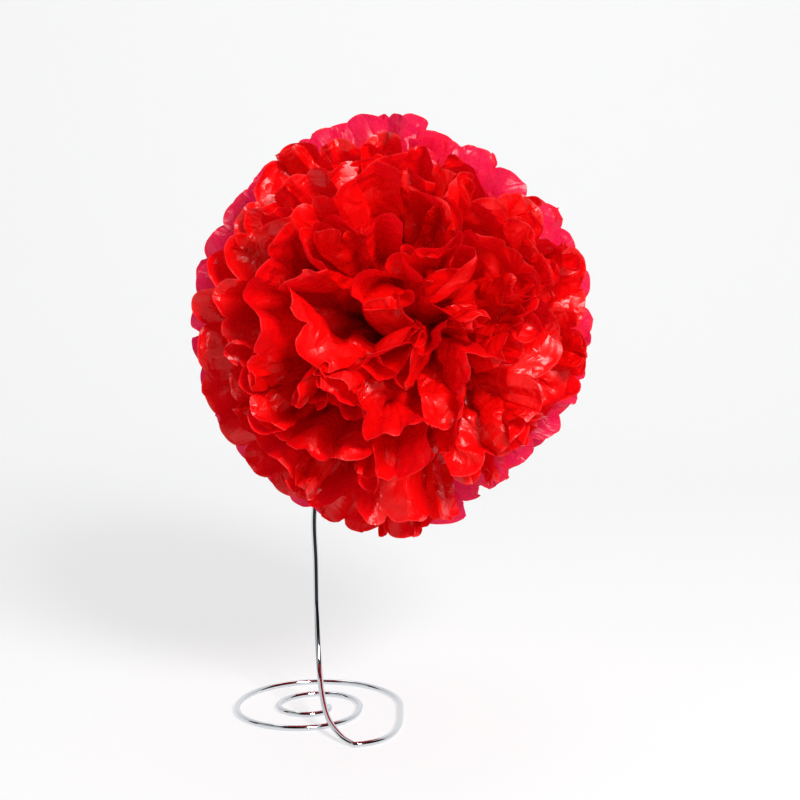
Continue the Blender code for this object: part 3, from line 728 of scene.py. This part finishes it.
# %% Read the fine surface
FINE = 5
RIM_PULL = 0.006  # the rim grows by this share
PULL_FADE = (0.05, 0.11)
PLEAT_SHARE = 0.5  # of the reading that keeps only the fold lines
PLEAT_ROWS = np.array([0, 2, 4, 6, 8, 10, 12, 13, 14])
# The height of each size of facet, and the width and height of its cells.
CREASES = ((0.0050, 0.0270, 0.0330), (0.0054, 0.0150, 0.0200), (0.0020, 0.0070, 0.0095))
RUFFLE = 0.013
FLAT_RUFFLE = 0.003  # for the two middle sheets
RUFFLE_FADE = (0.04, 0.125)
MIDDLE_SHARE = 0.55  # a panel's middle swings by this share of what a fold does
LENGTH_SHARE = 0.35
STEM_CLEAR = 0.0026
CLOSE_SHARE = 0.5
CLOSE_FADE = (0.02, 0.11)
CORNER_ARCH = 0.35
ROUNDING = 0.35


def read_net(net, x, y, chance):
    """Places on a net (rows, columns, 3) at column x and row y, straight across triangles of its cells."""
    rows, columns = net.shape[:2]
    column = np.minimum(x.astype(int), columns - 2)
    row = np.minimum(y.astype(int), rows - 2)
    a, b = (x - column)[..., None], (y - row)[..., None]
    p00, p10 = net[row, column], net[row, column + 1]
    p01, p11 = net[row + 1, column], net[row + 1, column + 1]
    rising = chance.uniform(size=(rows, columns))[row, column][..., None] < 0.5
    one_way = np.where(
        a > b, p00 + a * (p10 - p00) + b * (p11 - p10),
        p00 + b * (p01 - p00) + a * (p11 - p01),
    )
    other_way = np.where(
        a + b < 1, p00 + a * (p10 - p00) + b * (p01 - p00),
        p11 + (1 - a) * (p01 - p11) + (1 - b) * (p10 - p11),
    )
    return np.where(rising, one_way, other_way)


def round_off(points, amount):
    """Average each point with its neighbours, first along the rows and then along the columns."""
    for axis in (0, 1):
        moved = np.moveaxis(points, axis, 0)
        mean = moved.copy()
        mean[1:-1] = 0.25 * moved[:-2] + 0.5 * moved[1:-1] + 0.25 * moved[2:]
        points = np.moveaxis(moved + amount * (mean - moved), 0, axis)
    return points


def ruffled(points, fan, x, far, chance):
    """Swing the pleats' folds in and out by chance, straight between folds, more towards the rim.

    A point moves at right angles to its line to the waist, away from the fan's axis or towards it.
    """
    bends = 2 * PANELS + 1
    swing = chance.uniform(0.2, 1.0, bends) * chance.choice([-1.0, 1.0], bends)
    swing[1::2] *= MIDDLE_SHARE
    size = FLAT_RUFFLE if fan.rank == RIM_RANK else RUFFLE
    grown = smooth_step(far, *RUFFLE_FADE)
    amount = size * np.interp(2 * x / PER_PANEL, np.arange(bends), swing) * grown
    folds = np.arange(PANELS + 1)
    length = size * LENGTH_SHARE * np.interp(x / PER_PANEL, folds, chance.uniform(-1, 1, PANELS + 1))
    points = points * (1.0 + length * grown / 0.12)[..., None]
    ahead = points @ fan.axis
    beside = points - ahead[..., None] * fan.axis
    beside /= np.linalg.norm(beside, axis=-1, keepdims=True) + 1e-9
    distance = np.linalg.norm(points, axis=-1, keepdims=True) + 1e-9
    level = ahead[..., None] / distance
    away = level * beside - np.sqrt(np.maximum(0.0, 1.0 - level ** 2)) * fan.axis
    return points + amount[..., None] * away


def scalloped_grid():
    """Places x and y on the net for the fine points. The last rows end in a half circle on each panel."""
    columns = (COLUMNS - 1) * FINE + 1
    rows = (ROWS - 1) * FINE + 1
    x = np.broadcast_to(np.linspace(0, COLUMNS - 1, columns)[None, :], (rows, columns)).copy()
    y = np.broadcast_to(np.linspace(0, ROWS - 1, rows)[:, None], (rows, columns)).copy()
    t = (x / PER_PANEL) % 1.0
    arch = 1.0 - np.sqrt(np.maximum(0.0, 1.0 - (2.0 * t - 1.0) ** 2))
    corner = np.minimum(x, COLUMNS - 1 - x) < 0.5 * PER_PANEL
    arch = np.where(corner, CORNER_ARCH * arch, arch)
    return x, y - np.clip(y - (ROWS - 2), 0.0, 1.0) * arch * SCALLOP_DEPTH / RIM_BAND


def closed_up(points, far, facing):
    """The two middle sheets, moved towards each other down to the room that the stem needs."""
    depth = facing * points[..., 1]
    closer = STEM_CLEAR + (depth - STEM_CLEAR) * (1.0 - CLOSE_SHARE * smooth_step(far, *CLOSE_FADE))
    points[..., 1] = facing * np.where(depth > STEM_CLEAR, closer, depth)
    return points


def fine_surface(index):
    """Fine points of one fan, their flat coordinates, and their distance from the scalloped rim."""
    fan = FANS[index]
    chance = np.random.default_rng(500 + index)
    x, y = scalloped_grid()
    pleats = COARSE[index][PLEAT_ROWS][:, ::PER_PANEL]
    pleat_row = np.interp(y, PLEAT_ROWS, np.arange(len(PLEAT_ROWS)))
    points = (
        (1.0 - PLEAT_SHARE) * read_net(COARSE[index], x, y, chance)
        + PLEAT_SHARE * read_net(pleats, x / PER_PANEL, pleat_row, chance)
    )
    far = np.interp(y, np.arange(ROWS), fan.row_distances())
    points = round_off(ruffled(points, fan, x, far, chance), ROUNDING)
    across = x * REST_U
    height = sum(size * facets(across, far, wide, tall, chance) for size, wide, tall in CREASES)
    points = points + surface_normals(points) * (height * smooth_step(far, *CRUMPLE_FADE))[..., None]
    points = points * (1.0 + RIM_PULL * smooth_step(far, *PULL_FADE))[..., None]
    if fan.rank == RIM_RANK:
        points = closed_up(points, far, fan.facing)
    to_rim = far[-1:] - far
    return points, np.stack([across, far * fan.side], axis=-1), to_rim


# %% [markdown]
# The left fan, the waist and the right fan are one sheet of paper, so they are one surface here. The
# two middle sheets carry the rim of the ball. Their material lets more pink light through there, and
# has that pink glow painted on their lit side near the rim too.

# %% Make the ten sheets
SHARP_FROM = math.radians(16)


def make_sheet(sheet):
    """Both fans and the waist between them as one surface."""
    left, right = (fine_surface(2 * sheet + half) for half in (0, 1))
    points, uv, to_rim = (np.concatenate([one[::-1], two]) for one, two in zip(left, right))
    outer = min(sheet, SHEETS - 1 - sheet) == RIM_RANK
    piece = grid_object(f"paper_{sheet + 1:02d}", points + WAIST, uv, RIM_TISSUE if outer else TISSUE)
    piece.data.set_sharp_from_angle(angle=SHARP_FROM)
    layer = piece.data.attributes.new("to_rim", "FLOAT", "POINT")
    layer.data.foreach_set("value", to_rim.reshape(-1).astype(np.float32))
    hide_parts(f"tissue_sheet_{sheet + 1:02d}")
    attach(piece, "root")
    return piece


PAPERS = [make_sheet(sheet) for sheet in range(SHEETS)]
print("sheets:", len(PAPERS), "faces each:", len(PAPERS[0].data.polygons))

# %% [markdown]
# The stand is one chrome wire. Its route is a list of points with a smooth curve through them, and
# the surface is a circle carried along that route.


# %% A round wire along a route
END_LENGTH = 0.35
END_ROUNDNESS = 0.98


def tube(name, route, radius, sides, references, material):
    """A circle carried along the route. At each point it lies across the route's own direction.

    Its radius shrinks over END_LENGTH radii at both ends, so that they are round.
    """
    step = np.gradient(route, axis=0)
    along = step / np.linalg.norm(step, axis=1, keepdims=True)
    across = references - np.sum(references * along, axis=1, keepdims=True) * along
    across /= np.linalg.norm(across, axis=1, keepdims=True)
    other = np.cross(along, across)
    angle = np.linspace(0, 2 * math.pi, sides, endpoint=False)
    travelled = np.concatenate([[0.0], np.cumsum(np.linalg.norm(np.diff(route, axis=0), axis=1))])
    edge = radius * END_LENGTH
    to_end = np.minimum(travelled, travelled[-1] - travelled)
    inward = (1.0 - np.clip(to_end / edge, 0, 1)) ** 2 * END_ROUNDNESS
    thick = radius * np.sqrt(np.clip(1.0 - inward, 0.0, 1.0))
    ring = (
        np.cos(angle)[None, :, None] * across[:, None, :] + np.sin(angle)[None, :, None] * other[:, None, :]
    ) * thick[:, None, None]
    points = route[:, None, :] + ring
    ends = (np.repeat(route[:1, None], sides, axis=1), np.repeat(route[-1:, None], sides, axis=1))
    points = np.concatenate([ends[0], points, ends[1]])
    travelled = np.concatenate([travelled[:1], travelled, travelled[-1:]])
    uv = np.stack(np.broadcast_arrays(travelled[:, None], angle[None, :] * radius), axis=-1)
    wire = grid_object(name, points, uv, material, around=True)
    shape = bmesh.new()
    shape.from_mesh(wire.data)
    bmesh.ops.remove_doubles(shape, verts=shape.verts, dist=1e-7)
    bmesh.ops.recalc_face_normals(shape, faces=shape.faces)
    shape.to_mesh(wire.data)
    shape.free()
    return wire


def curve_through(points, per_gap):
    """A Catmull-Rom curve through the points, read at per_gap places in each gap."""
    points = np.asarray(points, float)
    padded = np.concatenate([[2 * points[0] - points[1]], points, [2 * points[-1] - points[-2]]])
    t = np.arange(per_gap)[None, :, None] / per_gap
    before, start, end, after = (padded[k:len(padded) - 3 + k, None] for k in range(4))
    line = 0.5 * (
        2 * start + (end - before) * t
        + (2 * before - 5 * start + 4 * end - after) * t ** 2
        + (3 * start - before - 3 * end + after) * t ** 3
    )
    return np.concatenate([line.reshape(-1, 3), points[-1:]])


# %% [markdown]
# Chrome is a mirror. Real wire is drawn through a hole, and keeps faint marks along its length, so
# the roughness here is a noise that is stretched along the wire.


# %% Metals
def metal_material(name, colour, roughness, on_uv, stretch, detail):
    """Bare metal. Its roughness runs between two values with a noise, stretched by scales in 1/m."""
    material, tree, output = blank_material(name)
    where = paper_uv(tree) if on_uv else node(tree, "ShaderNodeTexCoord").outputs["Object"]
    place = node(tree, "ShaderNodeMapping", Vector=where, Scale=stretch).outputs["Vector"]
    marks = node(tree, "ShaderNodeTexNoise", Vector=place, Scale=1.0, Detail=detail)
    rough = ramp(tree, marks.outputs["Fac"], 0.0, 1.0, *roughness)
    metal = node(tree, "ShaderNodeBsdfPrincipled", Base_Color=colour, Roughness=rough, Metallic=1.0)
    tree.links.new(metal.outputs["BSDF"], output.inputs["Surface"])
    return material


CHROME = metal_material(
    "chrome_wire", (0.70, 0.72, 0.75, 1.0), (0.04, 0.12), True, (60.0, 2500.0, 1.0), 2.0,
)
print("wire material:", CHROME.name)

# %% [markdown]
# The route starts at the small end of the spiral, goes two turns round, out to the foot in front,
# and then up. Each bend below is measured from the foot, from the waist or from the hook, in metres.

# %% The stand's route
WIRE_RADIUS = 0.0018
WIRE_SIDES = 20
SPIRAL_POINTS = 300
POINTS_FOR_EACH_BEND = 9
TURN_TO_STEM = (10, 45)  # points of the route after the spiral
TURN_TO_HOOK = (70, 95)
SPIRAL_CENTRE = np.array([-0.046, 0.0, 0.0])
SPIRAL_TAIL_RADIUS = 0.006
INNER_TURN_RADIUS = 0.0255
OUTER_TURN_RADIUS = 0.0510
FOOT_RADIUS = 0.0760
FOOT_TURNS = 2.2
ROUND_TURNS = 2.0
FOOT_REACH = 0.09
FOOT_HEADING = np.array([-0.98, -0.2, 0.0])
BENDS_FROM_FOOT = np.array([
    (-0.0075, 0.0085, 0.0020), (-0.0155, 0.0225, 0.0075), (-0.0200, 0.0400, 0.0165),
    (-0.0228, 0.0590, 0.0310), (-0.0245, 0.0700, 0.0600), (-0.0250, 0.0724, 0.0920),
])
BENDS_FROM_WAIST = np.array([
    (-0.0530, 0.0, -0.1140), (-0.0465, 0.0, -0.0620), (-0.0392, 0.0, -0.0100),
    (-0.0355, 0.0, 0.0200), (-0.0285, 0.0, 0.0420), (-0.0160, 0.0, 0.0520), (-0.0065, 0.0, 0.0470),
])
BENDS_FROM_HOOK = np.array([
    (-0.0048, 0.0, 0.0042), (0.0, 0.0, 0.0), (0.0048, 0.0, 0.0042), (0.0080, 0.0, 0.0110),
])
HOOK_DROP = 0.0305
HOOK = WAIST + np.array([(HOOK_DROP - WAIST_HEIGHT / 2) / math.tan(SEAM_TOP), 0.0, HOOK_DROP])


def spiral_route(count):
    """Two round turns, clockwise from above, then a cubic Hermite curve out to the foot."""
    turns = np.linspace(0.0, ROUND_TURNS, count)
    radius = (
        SPIRAL_TAIL_RADIUS
        + (INNER_TURN_RADIUS - SPIRAL_TAIL_RADIUS) * smooth_step(turns, 0.0, 0.55)
        + (OUTER_TURN_RADIUS - INNER_TURN_RADIUS) * smooth_step(turns, 1.0, 1.45)
    )
    angle = -2 * math.pi * turns
    spiral = SPIRAL_CENTRE + np.stack(
        [radius * np.cos(angle), radius * np.sin(angle), 0 * angle + WIRE_RADIUS], axis=1
    )
    last = -2 * math.pi * FOOT_TURNS
    foot = SPIRAL_CENTRE + np.array(
        [FOOT_RADIUS * math.cos(last), FOOT_RADIUS * math.sin(last), WIRE_RADIUS]
    )
    t = np.linspace(0.0, 1.0, 30)[1:, None]
    to_foot = (
        (2 * t ** 3 - 3 * t ** 2 + 1) * spiral[-1] + (3 * t ** 2 - 2 * t ** 3) * foot
        + (t ** 3 - 2 * t ** 2 + t) * np.array([0.0, -FOOT_REACH, 0.0])
        + (t ** 3 - t ** 2) * FOOT_REACH * FOOT_HEADING
    )
    return np.concatenate([spiral, to_foot])


def stand_route():
    """The spiral, the foot, the stem that leans back, and the hook inside the ball."""
    spiral = spiral_route(SPIRAL_POINTS)
    foot = spiral[-1:]
    bends = np.concatenate(
        [foot, foot + BENDS_FROM_FOOT, WAIST + BENDS_FROM_WAIST, HOOK + BENDS_FROM_HOOK]
    )
    return np.concatenate([spiral[:-1], curve_through(bends, POINTS_FOR_EACH_BEND)]), len(spiral)


def make_stand():
    """The whole stand. The circle starts at +Z on the base, at +X on the stem and at +Y at the hook."""
    route, spiral_count = stand_route()
    place = np.arange(len(route)) - spiral_count
    on_stem = smooth_step(place, *TURN_TO_STEM)[:, None]
    at_hook = smooth_step(place, *TURN_TO_HOOK)[:, None]
    up, right, back = np.eye(3)[[2, 0, 1]]
    references = (1 - on_stem) * up + on_stem * (1 - at_hook) * right + at_hook * back
    wire = tube("stand_wire", route, WIRE_RADIUS, WIRE_SIDES, references, CHROME)
    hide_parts("wire_stand")
    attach(wire, "root")
    length = np.linalg.norm(np.diff(route, axis=0), axis=1).sum()
    print("stand wire length:", round(float(length), 3), "m")


make_stand()

# %% [markdown]
# The tie wire is nearly hidden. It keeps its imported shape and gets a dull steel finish.


# %% Tie wire
def dress_tie():
    """Give the CAD node of the tie wire its finish: galvanised steel, a little mottled."""
    finish = metal_material(
        "tie_wire", (0.62, 0.62, 0.63, 1.0), (0.25, 0.5), False, (700.0, 700.0, 700.0), 3.0,
    )
    for slot in bpy.data.objects["tie_wire"].material_slots:
        slot.material = finish


dress_tie()
print("tie wire dressed")

# %% [markdown]
# The photograph was taken on a white sweep: a floor that curves up into a backdrop. The floor throws
# some light up at the ball from below. Its whiteness in the picture comes from its own material, by
# Light Path, and not from more light on the object. What is seen of it still takes the ball's shadow.

# %% Floor and backdrop
SWEEP_WALL = 1.6
SWEEP_BEND = 0.9
SWEEP_HALF_WIDTH = 4.0
SWEEP_FRONT = -4.0
SWEEP_TOP = 3.0
OWN_WHITE = 0.66
WHITE = (0.965, 0.97, 0.98, 1.0)


def seen_directly(tree):
    """1 where the eye, a mirror or glass sees the surface, and 0 where light only bounces off it."""
    path = tree.nodes.new("ShaderNodeLightPath").outputs
    by_mirror_or_glass = calculate(tree, "MAXIMUM", path["Is Glossy Ray"], path["Is Transmission Ray"])
    return calculate(tree, "MAXIMUM", path["Is Camera Ray"], by_mirror_or_glass)


def sweep_material():
    """White paper. What is seen of it is mostly its own white, and the rest takes light and shadow."""
    material, tree, output = blank_material("white_sweep")
    bounce = node(tree, "ShaderNodeBsdfDiffuse", Color=(0.85, 0.85, 0.85, 1.0))
    shaded = node(tree, "ShaderNodeBsdfDiffuse", Color=(0.37, 0.37, 0.37, 1.0))
    own_white = node(tree, "ShaderNodeEmission", Color=WHITE, Strength=OWN_WHITE)
    seen = node(tree, "ShaderNodeAddShader")
    tree.links.new(shaded.outputs["BSDF"], seen.inputs[0])
    tree.links.new(own_white.outputs["Emission"], seen.inputs[1])
    blend_into(output, tree, seen_directly(tree), bounce, seen)
    return material


def make_sweep():
    """A floor that bends up into a wall behind the object, as one curved sheet."""
    bend = np.linspace(0.0, math.pi / 2, 25)
    bent = SWEEP_WALL - SWEEP_BEND + SWEEP_BEND * np.sin(bend)
    depth = np.concatenate([[SWEEP_FRONT], bent, [SWEEP_WALL]])
    height = np.concatenate([[0.0], SWEEP_BEND * (1.0 - np.cos(bend)), [SWEEP_TOP]])
    across = np.linspace(-SWEEP_HALF_WIDTH, SWEEP_HALF_WIDTH, 5)
    points = np.stack(np.broadcast_arrays(across[None, :], depth[:, None], height[:, None]), axis=-1)
    sweep = grid_object("floor", points.copy(), points[..., :2].copy(), sweep_material())
    print("sweep: wall at", SWEEP_WALL, "m")


make_sweep()

# %% [markdown]
# Chrome shows the room, not itself. In the photograph its wire has a dark core between white edges,
# because the sweep is white behind it and the studio is dark round the camera. The dark studio here is
# a bowl open to the back, which only mirrors see: it hides nothing from the camera and takes no light.
# Its floor, which the stem mirrors, is narrower than its wall, which the base mirrors.


# %% The dark studio that chrome mirrors
DARK = (0.03, 0.03, 0.03, 1.0)
STUDIO_OUT = np.array([0.18, 3.2, 3.2, 3.2, 0.4])[:, None]
STUDIO_HEIGHT = np.array([0.004, 0.004, 0.004, 2.6, 3.0])[:, None]
STUDIO_FROM = np.array([-0.84, -0.84, -1.04, -1.04, -1.04])[:, None]
STUDIO_TO = np.array([-0.07, -0.07, 0.04, 0.04, 0.04])[:, None]


def make_studio():
    """A profile from the floor in front, out, up and back overhead, carried half round the object.

    STUDIO_FROM and STUDIO_TO say where each point of the profile starts and ends, in half turns.
    """
    material, tree, output = blank_material("dark_studio")
    black = node(tree, "ShaderNodeBsdfDiffuse", Color=DARK)
    tree.links.new(black.outputs["BSDF"], output.inputs["Surface"])
    along = np.linspace(0.0, 1.0, 40)[None, :]
    turn = math.pi * (STUDIO_FROM + (STUDIO_TO - STUDIO_FROM) * along)
    points = np.stack(np.broadcast_arrays(
        STUDIO_OUT * np.cos(turn), STUDIO_OUT * np.sin(turn), STUDIO_HEIGHT
    ), axis=-1)
    studio = grid_object("dark_studio", points, points[..., :2].copy(), material)
    studio.visible_camera = False
    studio.visible_diffuse = False
    studio.visible_transmission = False
    studio.visible_shadow = False
    print("dark studio:", len(studio.data.polygons), "faces")


make_studio()

# %% [markdown]
# A soft key lamp stands in front, to the right of the camera and above it, and the shadow falls back
# and to the left. A weak, wide lamp fills from the left, and a third one lights only the wall behind.
# The world is white where it is seen, and gives a little soft light from everywhere.


# %% Lamps and world
SOFT_LIGHT = 0.09
SEEN_LIGHT = 0.72


def area_lamp(name, place, target, size, power):
    """A square soft light that points at its target."""
    lamp = bpy.data.lights.new(name, "AREA")
    lamp.shape = "SQUARE"
    lamp.size = size
    lamp.energy = power
    thing = bpy.data.objects.new(name, lamp)
    bpy.context.scene.collection.objects.link(thing)
    thing.location = place
    thing.rotation_euler = (Vector(target) - Vector(place)).to_track_quat("-Z", "Y").to_euler()
    print("lamp:", name, power, "W")


def make_world():
    """White where it is seen, and a weak soft light from everywhere."""
    world = bpy.data.worlds.new("studio")
    bpy.context.scene.world = world
    world.use_nodes = True
    tree = world.node_tree
    tree.nodes.clear()
    output = tree.nodes.new("ShaderNodeOutputWorld")
    soft = node(tree, "ShaderNodeBackground", Color=(1.0, 1.0, 1.0, 1.0), Strength=SOFT_LIGHT)
    white = node(tree, "ShaderNodeBackground", Color=WHITE, Strength=SEEN_LIGHT)
    blend_into(output, tree, seen_directly(tree), soft, white)


area_lamp("key", (0.75, -1.5, 1.25), (0.0, 0.0, 0.2), 0.55, 43.0)
area_lamp("fill", (-1.5, -1.1, 0.7), (0.0, 0.0, 0.2), 1.6, 4.5)
area_lamp("wall", (0.0, 0.7, 2.0), (0.0, 1.5, 0.4), 1.5, 9.0)
make_world()
bpy.context.scene.view_settings.view_transform = "Standard"
